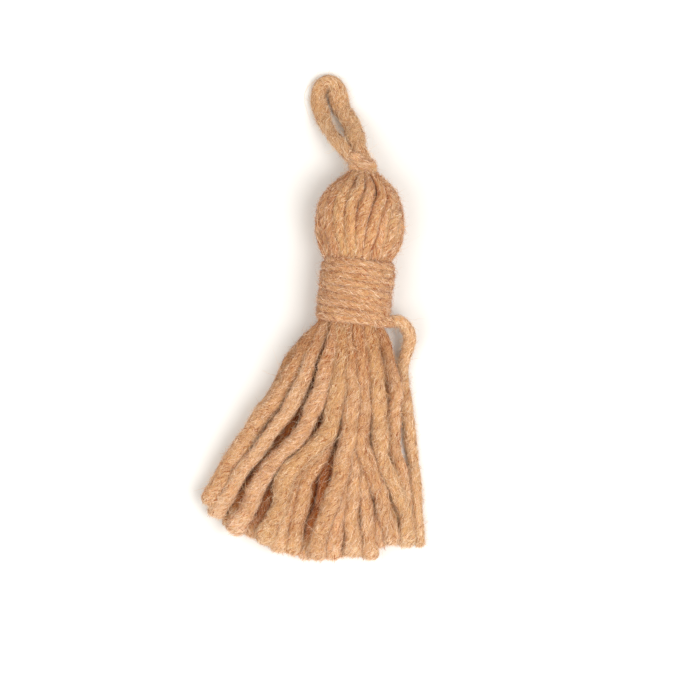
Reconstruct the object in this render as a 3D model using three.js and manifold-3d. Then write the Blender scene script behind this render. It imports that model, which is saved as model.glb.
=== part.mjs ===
// A wool yarn tassel that lies on its side: a bundle of yarn folded over into a head, bound at the neck
// and cut into a fanned skirt, with a knotted hanging loop and the loose tail of the binding yarn.
// Millimetres. +Y runs from the skirt to the loop, +X is to the right seen from above, +Z is up, and the
// tassel lies on z = 0. The origin is under the middle of the tassel.
import * as THREE from 'three';
import { mergeVertices } from 'three/addons/utils/BufferGeometryUtils.js';
import Module from 'manifold-3d';

const wasm = await Module();
wasm.setup();

// Driving dimensions
const GAP = 0.3;
const CORD_DIAMETER = 3.0;
const CORD_SIDES = 8;
const LOOP_STEPS = 30;
const TAIL_STEPS = 30;

// Head: a bulb of folded strands, which shows as ridges from the knot down to the neck
const HEAD_TOP = { x: 14.6, y: 50.4 };
const HEAD_AXIS_Z = 10.3;
const HEAD_FLATNESS = 0.885;
const HEAD_RIDGES = 20;
const RIDGE_DEPTH_SHARE = 0.085;
const POINTS_A_RIDGE = 4;
const HEAD_COLUMNS = ['y', 'x', 'halfWidth', 'tiltDeg'];
const HEAD_ROWS = [
  [49.6, 14.5, 4.6, 0],
  [48.2, 14.3, 7.0, 0],
  [46.2, 14.2, 9.1, 0],
  [43.6, 14.0, 10.6, 0],
  [40.2, 14.0, 11.7, 0],
  [36.5, 14.0, 12.1, 0],
  [32.6, 14.0, 11.8, 2],
  [29.6, 13.9, 10.9, 4],
  [28.0, 13.8, 9.6, 6],
];

// Neck: the drawn-in part of the bundle, inside the binding
const NECK_TOP = { x: 13.65, y: 26.9, z: 10.2 };
const NECK_FOOT = { x: 11.75, y: 8.8, z: 9.9 };
const NECK_HALF_WIDTH = 7.9;
const NECK_HALF_HEIGHT = 7.6;

// Binding: one layer of yarn wound round the neck
const BINDING_TOP_Y = 26.4;
const BINDING_FOOT_Y = 10.4;
const BINDING_TURNS = 8.5;
const BINDING_BASE = 0.9;
const BINDING_RIDGE = 1.0;
const BINDING_SIDES = 40;
const ROWS_A_TURN = 4;

// Skirt: its left and right side and the height of its top strands' middles, at rows from the neck down
const ROW_Y = [9.4, 2.0, -6.0, -14.0, -22.0, -30.0, -38.0, -46.0, -54.0];
const SKIRT_LEFT = [2.6, -4.9, -9.7, -14.7, -20.0, -25.2, -29.0, -32.5, -36.0];
const SKIRT_RIGHT = [20.9, 22.9, 24.3, 24.6, 24.8, 25.9, 27.0, 27.6, 28.2];
const SKIRT_TOP = [15.8, 15.4, 15.0, 14.4, 13.5, 12.2, 10.6, 9.0, 8.0];
const FLOOR_STRAND_Z = 1.9;

// Strand sections: share of the yarn's width, thickness of the roots, and the least gap between strands
const SECTION_SHARE = 0.92;
const ROOT_HALF = 0.52;
const LEAST_HALF = 0.6;
const STRAND_GAP = 0.25;
const FLAT_TOP_SHARE = 0.7;
const SLOPE_STEP = 1.0;
const LEAST_STEP = 1.0;

// Strand roots: how they lie round the neck, from the lowest strands to the top ones
const ROOT_RADIUS = 6.9;
const ROOT_ROUND_RADIUS = 7.8;
const ROOT_SHARE = { lowest: -0.75, top: 0.85 };
const TUCK_Y = 13.0;
const TUCK_SHARE = 0.7;

// Strands: width, y of the cut end, height as a share of the top, then x at the rows down to past the end
const EDGE_STRANDS = [
  [3.6, -35.1, 0, [4.0, -3.3, -7.6, -12.3, -17.6, -23.0, -27.2]],
];
const DEEP_STRANDS = [
  [3.5, -42.4, 0.4, [4.3, -0.8, -4.5, -8.5, -13.0, -18.6, -23.6, -27.0]],
  [3.5, -45.4, 0.4, [4.9, 2.7, 0.0, -3.2, -7.3, -13.0, -18.9, -22.6]],
  [3.6, -48.4, 0.4, [7.0, 6.5, 5.4, 3.2, 0.0, -6.2, -11.3, -14.6, -17.0]],
  [3.6, -52.0, 0.4, [8.5, 8.5, 8.0, 6.4, 3.9, -0.6, -4.0, -6.7, -8.9]],
  [3.7, -54.0, 0.4, [9.9, 10.6, 10.7, 9.7, 7.8, 4.9, 3.2, 1.1, -0.8]],
  [3.6, -53.6, 0.4, [12.9, 13.2, 13.4, 13.0, 12.4, 11.0, 10.4, 9.6, 8.9]],
  [3.6, -53.6, 0.4, [14.6, 15.8, 16.2, 15.9, 15.5, 14.8, 14.8, 14.7, 14.4]],
  [3.7, -51.6, 0.4, [16.2, 18.4, 18.9, 18.6, 18.4, 18.4, 18.9, 19.4, 19.4]],
];
const MIDDLE_STRANDS = [
  [3.7, -52.1, 0.7, [8.4, 8.9, 8.6, 7.6, 4.6, -1.9, -4.6, -7.3, -9.2]],
  [4.1, -53.2, 0.72, [9.2, 10.0, 9.5, 8.4, 5.7, 0.8, -1.4, -3.5, -5.7]],
  [3.9, -54.2, 0.75, [11.1, 11.9, 11.9, 11.3, 10.5, 9.7, 8.6, 7.6, 6.5]],
  [4.1, -53.4, 0.78, [11.9, 12.7, 13.0, 12.2, 11.6, 12.2, 11.9, 12.0, 11.9]],
  [3.7, -54.4, 0.72, [14.6, 15.7, 15.7, 15.7, 14.9, 14.9, 15.7, 16.5, 16.3]],
  [3.7, -49.8, 0.5, [18.1, 20.6, 22.2, 22.9, 23.4, 24.6, 26.0, 26.9, 27.4]],
];
const FRONT_STRANDS = [
  [4.4, -39.4, 1, [4.3, -1.1, -5.9, -11.3, -17.0, -22.4, -26.0, -29.0]],
  [3.6, -43.0, 1, [4.8, 1.7, -1.2, -5.5, -11.1, -18.1, -22.7, -26.4]],
  [4.2, -47.2, 1, [6.2, 5.1, 3.7, 0.5, -3.7, -11.1, -15.5, -19.6, -23.2]],
  [4.5, -50.2, 1, [8.1, 8.6, 8.4, 7.1, 3.8, -4.6, -7.5, -10.5, -13.2]],
  [4.1, -54.4, 1, [10.3, 11.2, 11.5, 11.5, 10.5, 8.3, 6.7, 3.7, 1.6]],
  [3.9, -50.6, 1, [13.2, 14.2, 14.6, 14.9, 14.5, 16.8, 20.2, 22.0, 22.9]],
  [4.1, -51.3, 1, [15.9, 17.3, 18.6, 19.0, 19.1, 21.3, 25.0, 26.6, 26.9]],
];

// Fan that the lowest strands fill evenly: its left and right side at the rows, and its hem
const FAN_LEFT = [5.0, -1.5, -6.5, -11.0, -15.5, -20.5, -25.0, -29.5, -34.0];
const FAN_RIGHT = [18.6, 20.4, 21.2, 21.8, 22.2, 22.7, 23.1, 23.4, 23.6];
const FAN_HEM_Y = [-37.0, -48.2, -53.0, -53.4, -50.4];
const FAN_STRANDS = 12;
const FAN_STRAND_WIDTH = 3.9;

// Knot at the foot of the loop: a lump of slanting turns
const KNOT = { x: 14.6, y: 52.8, z: 10.3, halfX: 3.9, halfY: 2.15, halfZ: 2.8 };
const KNOT_TURN_PITCH = 1.9;
const KNOT_TURN_RAISE = 0.35;
const KNOT_SLANT_DEG = 55;
const KNOT_SEGMENTS = { around: 22, down: 14 };

// Hanging loop, from the knot's left side round to its right side: x, y, z
const LOOP_ROUTE = [
  [11.8, 54.8, 10.3],
  [9.4, 57.4, 9.6],
  [7.3, 59.9, 8.0],
  [5.4, 62.9, 5.6],
  [4.2, 65.6, 3.6],
  [3.2, 68.3, 2.2],
  [2.8, 71.0, 1.6],
  [3.0, 73.2, 1.6],
  [4.1, 74.9, 1.6],
  [5.8, 75.4, 1.6],
  [7.4, 74.3, 1.6],
  [8.2, 72.1, 1.6],
  [8.7, 69.4, 1.7],
  [10.0, 66.6, 2.4],
  [11.6, 64.3, 3.8],
  [12.6, 61.6, 6.0],
  [13.1, 58.9, 8.4],
  [13.8, 56.8, 9.8],
  [14.4, 55.5, 10.2],
];

// Loose tail of the binding yarn, from the binding's lower right down beside the skirt: x, y, z
const TAIL_ROUTE = [
  [22.5, 10.4, 9.9],
  [24.3, 10.5, 9.8],
  [25.9, 9.6, 9.2],
  [27.0, 8.0, 8.2],
  [27.4, 6.0, 7.0],
  [27.2, 4.0, 5.8],
  [26.5, 1.6, 4.5],
  [25.9, -0.8, 3.4],
  [25.7, -3.4, 2.5],
  [25.8, -6.2, 1.8],
  [26.2, -9.6, 1.55],
  [26.7, -13.2, 1.55],
  [27.2, -16.8, 1.55],
  [27.7, -20.5, 1.55],
  [28.1, -24.5, 1.55],
  [28.6, -28.5, 1.55],
  [28.9, -32.5, 1.55],
  [29.2, -36.5, 1.55],
  [29.4, -40.5, 1.55],
  [29.8, -44.5, 1.55],
  [30.2, -50.6, 1.55],
];

const YARN_COLOUR = { skirt: 0xd8a673, binding: 0xdcab78, cord: 0xe0b184 };
const YARN_ROUGHNESS = 0.95;

const lerp = THREE.MathUtils.lerp;
const toRadians = THREE.MathUtils.degToRad;
const share = (value, from, to) => (value - from) / (to - from);

// Height of a round ridge, 0 in the groove to 1 on the crest, at a place from 0 to 1 across it
function ridge(place) {
  const across = 2 * (place - Math.floor(place)) - 1;
  return Math.sqrt(1 - across * across);
}

function signedVolume(position, index) {
  const a = new THREE.Vector3();
  const b = new THREE.Vector3();
  const c = new THREE.Vector3();
  let volume = 0;
  for (let k = 0; k < index.length; k += 3) {
    a.fromBufferAttribute(position, index[k]);
    b.fromBufferAttribute(position, index[k + 1]);
    c.fromBufferAttribute(position, index[k + 2]);
    volume += a.dot(b.cross(c)) / 6;
  }
  return volume;
}

// A closed geometry with its points merged and its faces turned outwards
function closedOutwards(geometry) {
  const bare = geometry.clone();
  bare.deleteAttribute('normal');
  bare.deleteAttribute('uv');
  const merged = mergeVertices(bare);
  const index = Array.from(merged.index.array);
  if (signedVolume(merged.attributes.position, index) < 0) index.reverse();
  merged.setIndex(index);
  return merged;
}

// A skin over rings of equal point counts, closed by a point at each end
function skinOverRings(rings, firstPoint, lastPoint) {
  const sides = rings[0].length;
  const points = [...rings.flat(), firstPoint, lastPoint];
  const first = points.length - 2;
  const last = points.length - 1;
  const endRing = (rings.length - 1) * sides;
  const index = [];
  for (let side = 0; side < sides; side++) {
    const next = (side + 1) % sides;
    index.push(first, next, side);
    for (let ring = 0; ring < rings.length - 1; ring++) {
      const here = ring * sides;
      const there = here + sides;
      index.push(here + side, here + next, there + side);
      index.push(here + next, there + next, there + side);
    }
    index.push(last, endRing + side, endRing + next);
  }
  const geometry = new THREE.BufferGeometry().setFromPoints(points);
  geometry.setIndex(index);
  return closedOutwards(geometry);
}

function centreOf(ring) {
  const sum = new THREE.Vector3();
  ring.forEach((point) => sum.add(point));
  return sum.divideScalar(ring.length);
}

function toSolid(geometry) {
  const vertProperties = new Float32Array(geometry.attributes.position.array);
  const triVerts = new Uint32Array(geometry.index.array);
  return new wasm.Manifold(new wasm.Mesh({ numProp: 3, vertProperties, triVerts }));
}

function toGeometry(solid) {
  const mesh = solid.getMesh();
  const geometry = new THREE.BufferGeometry();
  geometry.setAttribute('position', new THREE.BufferAttribute(mesh.vertProperties, 3));
  geometry.setIndex(Array.from(mesh.triVerts));
  return geometry;
}

// A flattened ring of points round the tassel's axis, turned in plan by its tilt; radiusAt gives the
// share of the full radius at an angle
function axisRing(centre, halfWidth, halfHeight, tiltDeg, sides, radiusAt) {
  const tilt = toRadians(tiltDeg);
  const ring = [];
  for (let side = 0; side < sides; side++) {
    const angle = (2 * Math.PI * side) / sides;
    const out = halfWidth * radiusAt(angle) * Math.cos(angle);
    const up = halfHeight * radiusAt(angle) * Math.sin(angle);
    const z = Math.max(0, centre.z + up);
    ring.push(new THREE.Vector3(centre.x + out * Math.cos(tilt), centre.y - out * Math.sin(tilt), z));
  }
  return ring;
}

const neckTiltDeg = THREE.MathUtils.radToDeg(
  Math.atan2(NECK_TOP.x - NECK_FOOT.x, NECK_TOP.y - NECK_FOOT.y),
);

function neckCentre(y) {
  const along = share(y, NECK_FOOT.y, NECK_TOP.y);
  const x = lerp(NECK_FOOT.x, NECK_TOP.x, along);
  const z = lerp(NECK_FOOT.z, NECK_TOP.z, along);
  return new THREE.Vector3(x, y, z);
}

// Head and neck in one skin, from the fold under the knot to the foot of the neck
function headAndNeck() {
  const sides = HEAD_RIDGES * POINTS_A_RIDGE;
  const ridged = (angle) => 1 - RIDGE_DEPTH_SHARE * (1 - ridge((angle * HEAD_RIDGES) / (2 * Math.PI)));
  const rings = HEAD_ROWS.map((values) => {
    const row = Object.fromEntries(HEAD_COLUMNS.map((name, column) => [name, values[column]]));
    const centre = new THREE.Vector3(row.x, row.y, HEAD_AXIS_Z);
    return axisRing(centre, row.halfWidth, row.halfWidth * HEAD_FLATNESS, row.tiltDeg, sides, ridged);
  });
  for (const y of [NECK_TOP.y, NECK_FOOT.y]) {
    const centre = neckCentre(y);
    rings.push(axisRing(centre, NECK_HALF_WIDTH, NECK_HALF_HEIGHT, neckTiltDeg, sides, () => 1));
  }
  const top = new THREE.Vector3(HEAD_TOP.x, HEAD_TOP.y, HEAD_AXIS_Z);
  return skinOverRings(rings, top, neckCentre(NECK_FOOT.y));
}

function valueAtPlace(values, place) {
  const steps = values.length - 1;
  const step = Math.min(Math.floor(place * steps), steps - 1);
  return lerp(values[step], values[step + 1], place * steps - step);
}

// The lowest strands, spread evenly over the fan on the floor
function fanStrands() {
  return Array.from({ length: FAN_STRANDS }, (_, strand) => {
    const place = strand / (FAN_STRANDS - 1);
    const xs = FAN_LEFT.map((left, row) => lerp(left, FAN_RIGHT[row], place));
    return [FAN_STRAND_WIDTH, valueAtPlace(FAN_HEM_Y, place), 0, xs];
  });
}

// Share of a mound's full height at a distance from its middle, from 1 there to 0 at its sides
function moundShare(aside) {
  return Math.sqrt(1 - THREE.MathUtils.clamp(aside, -1, 1) ** 2);
}

// Height of a strand's middle at a row: its root lies round the neck, the rest on a mound
function strandHeight(x, row, height) {
  if (row === 0) {
    const rootShare = lerp(ROOT_SHARE.lowest, ROOT_SHARE.top, height);
    return NECK_FOOT.z + ROOT_RADIUS * rootShare * moundShare((x - NECK_FOOT.x) / ROOT_ROUND_RADIUS);
  }
  const middle = (SKIRT_LEFT[row] + SKIRT_RIGHT[row]) / 2;
  const half = (SKIRT_RIGHT[row] - SKIRT_LEFT[row]) / 2;
  return FLOOR_STRAND_Z + height * (SKIRT_TOP[row] - FLOOR_STRAND_Z) * moundShare((x - middle) / half);
}

// A strand whose middle is a smooth curve through its rows
function makeStrand([width, endY, height, xs]) {
  const depths = ROW_Y.slice(0, xs.length).map((y) => -y);
  const places = xs.flatMap((x, row) => [x, strandHeight(x, row, height)]);
  const curve = new THREE.CubicInterpolant(depths, places, 2, new Float32Array(2));
  const at = (y) => {
    const [x, z] = curve.evaluate(-y);
    return new THREE.Vector3(x, y, z);
  };
  return { width, endY, onFloor: height === 0, at };
}

// How much wider a slanting strand is across x than square to its line
function stretchAt(strand, y) {
  return Math.hypot(1, (strand.at(y).x - strand.at(y - SLOPE_STEP).x) / SLOPE_STEP);
}

// Half the thickness of a strand at a height: its own, or less where others lie close to it
function clearHalf(strand, y, strands) {
  const here = strand.at(y);
  let half = Math.min((strand.width * SECTION_SHARE) / 2, here.z);
  for (const other of strands) {
    if (other === strand || other.endY > y) continue;
    const there = other.at(y);
    const stretch = Math.max(stretchAt(strand, y), stretchAt(other, y));
    const apart = Math.hypot((there.x - here.x) / stretch, there.z - here.z);
    half = Math.min(half, (apart - STRAND_GAP) / 2);
  }
  return Math.max(half, LEAST_HALF);
}

// Four-sided section of a strand: standing on its edge, or flat on the floor
function strandRing(centre, half, stretch, liesFlat) {
  const wide = half * stretch;
  const flatTop = [wide * FLAT_TOP_SHARE, half * FLAT_TOP_SHARE];
  const corners = liesFlat
    ? [[wide, -centre.z], flatTop, [-flatTop[0], flatTop[1]], [-wide, -centre.z]]
    : [[wide, 0], [0, half], [-wide, 0], [0, -half]];
  return corners.map(([aside, up]) => new THREE.Vector3(centre.x + aside, centre.y, centre.z + up));
}

function strandGeometry(strand, strands) {
  const root = strand.at(ROW_Y[0]);
  const middle = neckCentre(TUCK_Y);
  const tuck = new THREE.Vector3(
    lerp(middle.x, root.x, TUCK_SHARE),
    TUCK_Y,
    lerp(middle.z, root.z, TUCK_SHARE),
  );
  const rings = [strandRing(tuck, ROOT_HALF, 1, false), strandRing(root, ROOT_HALF, 1, false)];
  const levels = ROW_Y.slice(1).flatMap((y, row) => [(ROW_Y[row] + y) / 2, y]);
  for (const y of [...levels.filter((level) => level > strand.endY + LEAST_STEP), strand.endY]) {
    const liesFlat = strand.onFloor && y <= ROW_Y[1];
    rings.push(strandRing(strand.at(y), clearHalf(strand, y, strands), stretchAt(strand, y), liesFlat));
  }
  return skinOverRings(rings, centreOf(rings[0]), centreOf(rings.at(-1)));
}

// Bundle: the strands' roots are fused into the neck and head, and below it they stand apart; only its
// outer skin is kept, so that a pocket closed off between the roots is solid
function yarnBundle() {
  const rows = [...EDGE_STRANDS, ...fanStrands(), ...DEEP_STRANDS, ...MIDDLE_STRANDS, ...FRONT_STRANDS];
  const strands = rows.map(makeStrand);
  const solids = strands.map((strand) => toSolid(strandGeometry(strand, strands)));
  const whole = solids.reduce((sum, solid) => sum.add(solid), toSolid(headAndNeck()));
  const skins = whole.decompose();
  return toGeometry(skins.reduce((most, skin) => (skin.volume() > most.volume() ? skin : most)));
}

// Binding: a sleeve round the neck with the winding's turns raised on it
function neckBinding() {
  const rows = Math.round(BINDING_TURNS * ROWS_A_TURN);
  const innerWidth = NECK_HALF_WIDTH + GAP;
  const innerHeight = NECK_HALF_HEIGHT + GAP;
  const ringAt = (along, raise) => {
    const centre = neckCentre(lerp(BINDING_FOOT_Y, BINDING_TOP_Y, along));
    const radiusAt = (angle) => 1 + raise(angle) / innerWidth;
    return axisRing(centre, innerWidth, innerHeight, neckTiltDeg, BINDING_SIDES, radiusAt);
  };
  const outer = Array.from({ length: rows + 1 }, (_, row) => {
    const turn = (along, angle) => along * BINDING_TURNS - angle / (2 * Math.PI);
    const along = row / rows;
    return ringAt(along, (angle) => BINDING_BASE + BINDING_RIDGE * ridge(turn(along, angle)));
  });
  const loop = [...outer, ringAt(1, () => 0), ringAt(0, () => 0)];
  const points = loop.flat();
  const index = [];
  for (let row = 0; row < loop.length; row++) {
    const here = row * BINDING_SIDES;
    const there = ((row + 1) % loop.length) * BINDING_SIDES;
    for (let side = 0; side < BINDING_SIDES; side++) {
      const next = (side + 1) % BINDING_SIDES;
      index.push(here + side, here + next, there + side);
      index.push(here + next, there + next, there + side);
    }
  }
  const geometry = new THREE.BufferGeometry().setFromPoints(points);
  geometry.setIndex(index);
  return closedOutwards(geometry);
}

// Knot: an egg-shaped lump with slanting turns raised on it
function loopKnot() {
  const geometry = new THREE.SphereGeometry(1, KNOT_SEGMENTS.around, KNOT_SEGMENTS.down);
  const position = geometry.attributes.position;
  const slant = toRadians(KNOT_SLANT_DEG);
  const point = new THREE.Vector3();
  const size = new THREE.Vector3(KNOT.halfX, KNOT.halfY, KNOT.halfZ);
  for (let k = 0; k < position.count; k++) {
    point.fromBufferAttribute(position, k);
    const across = (point.x * size.x * Math.cos(slant) + point.y * size.y * Math.sin(slant)) / KNOT_TURN_PITCH;
    const raised = 1 - KNOT_TURN_RAISE / size.y + (KNOT_TURN_RAISE / size.y) * ridge(across);
    point.multiply(size).multiplyScalar(raised);
    position.setXYZ(k, point.x, point.y, point.z);
  }
  return closedOutwards(geometry);
}

// A yarn tube along a hand-chosen route
function cordAlong(route, steps) {
  const path = new THREE.CatmullRomCurve3(route.map((point) => new THREE.Vector3(...point)));
  const corners = Array.from({ length: CORD_SIDES }, (_, side) => {
    const angle = (2 * Math.PI * side) / CORD_SIDES;
    return new THREE.Vector2(Math.cos(angle), Math.sin(angle)).multiplyScalar(CORD_DIAMETER / 2);
  });
  const section = new THREE.Shape(corners);
  const tube = new THREE.ExtrudeGeometry(section, { steps, extrudePath: path, bevelEnabled: false });
  return closedOutwards(tube);
}

function yarnMesh(name, geometry, color) {
  const material = new THREE.MeshStandardMaterial({ color, roughness: YARN_ROUGHNESS, metalness: 0 });
  const mesh = new THREE.Mesh(geometry, material);
  mesh.name = name;
  return mesh;
}

const tassel = new THREE.Group();
const knot = yarnMesh('loop_knot', loopKnot(), YARN_COLOUR.cord);
knot.position.set(KNOT.x, KNOT.y, KNOT.z);
tassel.add(
  yarnMesh('yarn_bundle', yarnBundle(), YARN_COLOUR.skirt),
  yarnMesh('neck_binding', neckBinding(), YARN_COLOUR.binding),
  knot,
  yarnMesh('hanging_loop', cordAlong(LOOP_ROUTE, LOOP_STEPS), YARN_COLOUR.cord),
  yarnMesh('binding_tail', cordAlong(TAIL_ROUTE, TAIL_STEPS), YARN_COLOUR.cord),
);

export default tassel;
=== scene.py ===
"""A camel brown wool yarn tassel that lies on a pale floor, seen from straight above.

Sizes are in millimetres and go into the meshes in metres. Every length of yarn is a tube with soft lumps,
and loose wool fibres lie on it as thin ribbons.
"""

import math

import bpy
import numpy as np
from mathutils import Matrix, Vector


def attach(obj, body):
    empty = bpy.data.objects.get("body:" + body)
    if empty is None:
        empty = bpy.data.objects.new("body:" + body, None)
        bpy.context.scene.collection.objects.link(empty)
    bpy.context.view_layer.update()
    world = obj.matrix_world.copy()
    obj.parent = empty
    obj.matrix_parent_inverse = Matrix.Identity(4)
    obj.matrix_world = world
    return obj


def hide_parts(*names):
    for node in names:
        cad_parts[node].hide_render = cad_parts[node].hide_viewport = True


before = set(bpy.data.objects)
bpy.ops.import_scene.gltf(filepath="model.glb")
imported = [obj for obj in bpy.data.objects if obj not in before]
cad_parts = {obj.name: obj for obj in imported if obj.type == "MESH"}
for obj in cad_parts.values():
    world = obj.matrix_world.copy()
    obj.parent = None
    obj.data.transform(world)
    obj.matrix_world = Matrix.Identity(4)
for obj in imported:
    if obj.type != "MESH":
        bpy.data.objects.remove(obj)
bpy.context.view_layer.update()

METRES = 0.001
UP = np.array([0.0, 0.0, 1.0])

# Camera: straight above and far off, one pixel of the 700 x 700 frame is 0.27 mm at the yarn
PIXEL_SIZE = 0.27
FRAME_PIXELS = 700
VIEW_CENTRE = (11.34, 2.7)
CAMERA_HEIGHT = 1200.0
SEEN_HEIGHT = 10.0
SENSOR_WIDTH = 36.0

# Yarn: a single soft ply with a slow twist, a turn in about 22 mm, now and then the other way round
TURN_LENGTH = 22.0
TURN_UNEVEN = (0.8, 1.3)
OTHER_WAY_SHARE = 0.15

# Tubes: their sides and steps, and the rounding of an end as a share of the half width; the tip keeps a
# small part of the width, and the fibres at it keep more
TUBE_SIDES = 14
BINDING_SIDES = 12
TUBE_STEP = 0.8
CORD_STEP = 0.6
KNOT_FOOT_STEP = 0.5
LEAST_STEPS = 8
CURVE_SAMPLES = 24
CAP_SHARE = 0.85
CAP_LEAST = 0.04
CAP_FLUFF = 0.6
FLOOR_CLEARANCE = 0.03

# Bake places: a piece's tubes have strips in three rows, a long tube has several, and a fibre's place goes
# by its tone; the margins are shares that stay free at the edges
BAKE_ROWS = 3
BAKE_SIDE_MARGIN = 0.04
BAKE_END_MARGIN = 0.01
CORD_STRIPS = 6
BINDING_STRIPS = 9
FIBRE_BAKE_MARGIN = 0.02
FIBRE_BAKE_HALF_WIDTH = 0.004

# Lumps of the yarn: share of its thickness, ridges round it, and radians of wave in 6 mm of it at most
LUMPS = [
    (0.08, 0, 2.7), (0.03, 0, 6.6), (0.045, 1, 1.8), (0.05, 2, 1.2), (0.03, 3, 3.0), (0.025, 5, 5.4),
    (0.02, 7, 9.6),
]
LUMP_STRETCH = 6.0

# Seeds of the random draws of each piece; strands and feet count up from theirs
SEEDS = {
    "loop": 11, "tail": 12, "knot": 13, "binding": 14, "core": 15, "knot feet": 17, "head": 100,
    "skirt": 200,
}

# Hanging loop, from the knot's left side round to its right side: x, y, z, and its widths by the share of
# the way round
LOOP_ROUTE = [
    (11.8, 54.8, 10.3), (9.4, 57.4, 9.6), (7.3, 59.9, 8.0), (5.4, 62.9, 5.6), (4.2, 65.6, 3.6),
    (3.2, 68.3, 2.2), (2.8, 71.0, 1.6), (3.0, 73.2, 1.6), (4.1, 74.9, 1.6), (5.8, 75.4, 1.6),
    (7.4, 74.3, 1.6), (8.2, 72.1, 1.6), (8.7, 69.4, 1.7), (10.0, 66.6, 2.4), (11.6, 64.3, 3.8),
    (12.6, 61.6, 6.0), (13.1, 58.9, 8.4), (13.8, 56.8, 9.8), (14.4, 55.5, 10.2),
]
LOOP_WIDTHS = [
    (0.0, 3.0), (0.2, 3.2), (0.28, 3.5), (0.42, 3.8), (0.55, 4.0), (0.65, 4.4), (0.77, 4.7), (0.9, 4.2),
    (1.0, 3.6),
]

# Loose tail of the binding yarn, from the binding's lower right down beside the skirt: x, y, z
TAIL_DIAMETER = 3.0
TAIL_ROUTE = [
    (22.5, 10.4, 9.9), (24.3, 10.5, 9.8), (25.9, 9.6, 9.2), (27.0, 8.0, 8.2), (27.4, 6.0, 7.0),
    (27.2, 4.0, 5.8), (26.5, 1.6, 4.5), (25.9, -0.8, 3.4), (25.7, -3.4, 2.5), (25.8, -6.2, 1.8),
    (26.2, -9.6, 1.55), (26.7, -13.2, 1.55), (27.2, -16.8, 1.55), (27.7, -20.5, 1.55), (28.1, -24.5, 1.55),
    (28.6, -28.5, 1.55), (28.9, -32.5, 1.55), (29.2, -36.5, 1.55), (29.4, -40.5, 1.55), (29.8, -44.5, 1.55),
    (30.2, -50.6, 1.55),
]

# Knot: a little over two turns of the loop's yarn round its own two feet, which run on into the head; a foot
# is its width and its route
KNOT_CENTRE = np.array([14.7, 52.8, 10.3])
KNOT_HALF_WIDTH = 2.5
KNOT_HALF_HEIGHT = 1.6
KNOT_TURNS = 2.3
KNOT_RISE = 2.8
KNOT_SLANT = 0.3
KNOT_YARN = 2.8
KNOT_STEPS = 80
KNOT_FEET = [
    (3.2, [(11.8, 54.8, 10.3), (12.9, 53.7, 10.5), (14.1, 52.0, 10.5), (14.9, 49.4, 10.3)]),
    (3.6, [(14.4, 55.5, 10.2), (15.0, 54.0, 10.4), (15.3, 52.2, 10.4), (15.3, 49.4, 10.3)]),
]

# Head: a bulb of folded strands; the rows are y, x and half width, from the fold to the neck
HEAD_AXIS_Z = 10.3
HEAD_FLATNESS = 0.885
HEAD_ROWS = np.array([
    (51.8, 14.7, 2.6), (50.7, 14.6, 3.6), (49.8, 14.5, 4.6), (48.3, 14.3, 6.7), (46.2, 14.2, 8.8),
    (43.6, 14.0, 10.4), (40.2, 14.0, 11.5), (36.5, 14.0, 11.8), (32.6, 14.0, 11.4), (29.6, 13.9, 10.5),
    (27.8, 13.8, 9.5), (26.2, 13.6, 8.5), (23.0, 13.2, 7.6),
])
HEAD_YARN_SHARE = 0.165
HEAD_YARN_LEAST = 0.9
HEAD_YARN_FLATNESS = 0.8

# Strands of the head: how far one stands out from the others, its width as a share of the usual, and its
# directions round the head's axis in degrees at these heights, 0 to the camera and 90 to the right
HEAD_HEIGHTS = np.array([46.7, 43.2, 38.9, 34.6, 29.7])
HEAD_FRONT_STRANDS = [
    (-0.1, 1.4, (-76, -72, -68, -66, -62)), (0.0, 1.4, (-54, -53, -50, -48, -43)),
    (0.0, 1.05, (-31, -33, -33, -30, -26)), (0.2, 0.9, (-1, -11, -15, -14, -13)),
    (0.1, 0.9, (20, 12, 3, 2, -2)), (0.5, 0.84, (42, 36, 22, 18, 12)),
    (-0.1, 1.0, (66, 62, 43, 38, 31)), (0.1, 1.5, (76, 73, 58, 54, 48)), (0.0, 1.4, (87, 85, 77, 74, 68)),
]
HEAD_BACK_STRANDS = 12
HEAD_BACK_SPAN = (92.0, 280.0)
HEAD_BACK_WIDTH = 1.2

# Core of the head and neck: how many half widths of the yarn it is sunk in the head, its own least half
# width, and how far it is sunk in the neck
CORE_SUNK_HALVES = 1.5
CORE_LEAST = 1.5
CORE_NECK_SUNK = 1.2

# Neck and the binding that is wound down it
NECK_TOP = np.array([13.65, 26.9, 10.2])
NECK_FOOT = np.array([11.75, 8.8, 9.9])
NECK_HALF_WIDTH = 7.9
NECK_HALF_HEIGHT = 7.6
BINDING_TOP_Y = 26.3
BINDING_FOOT_Y = 10.5
BINDING_TURNS = 8.5
BINDING_YARN = 2.5
BINDING_FLATNESS = 0.68
BINDING_OUT = 1.15

# Unevenness of the binding: waves along the neck and one outwards, as size, pace by the angle and phase;
# its start is sunk for a share of its length, and its foot leaves for the tail in part of a turn
BINDING_WANDER = 0.14
BINDING_WAVES = [(1.0, 0.41, 1.0), (0.6, 1.13, 2.0), (0.4, 2.27, 0.0)]
BINDING_OUT_WAVE = (0.12, 1.71, 0.5)
BINDING_START_SUNK = 0.6
BINDING_START_SHARE = 0.05
BINDING_LEAVING_TURN = 0.22

# Skirt: its left and right side and the height of its top strands' middles, at these heights y
ROW_Y = np.array([9.4, 2.0, -6.0, -14.0, -22.0, -30.0, -38.0, -46.0, -54.0])
SKIRT_LEFT = np.array([2.6, -4.9, -9.7, -14.7, -20.0, -25.2, -29.0, -32.5, -36.0])
SKIRT_RIGHT = np.array([20.9, 22.9, 24.3, 24.6, 24.8, 25.9, 27.0, 27.6, 28.2])
SKIRT_TOP = np.array([15.8, 15.4, 15.0, 14.4, 13.5, 12.2, 10.6, 9.0, 8.0])
FLOOR_STRAND_Z = 1.9

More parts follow.
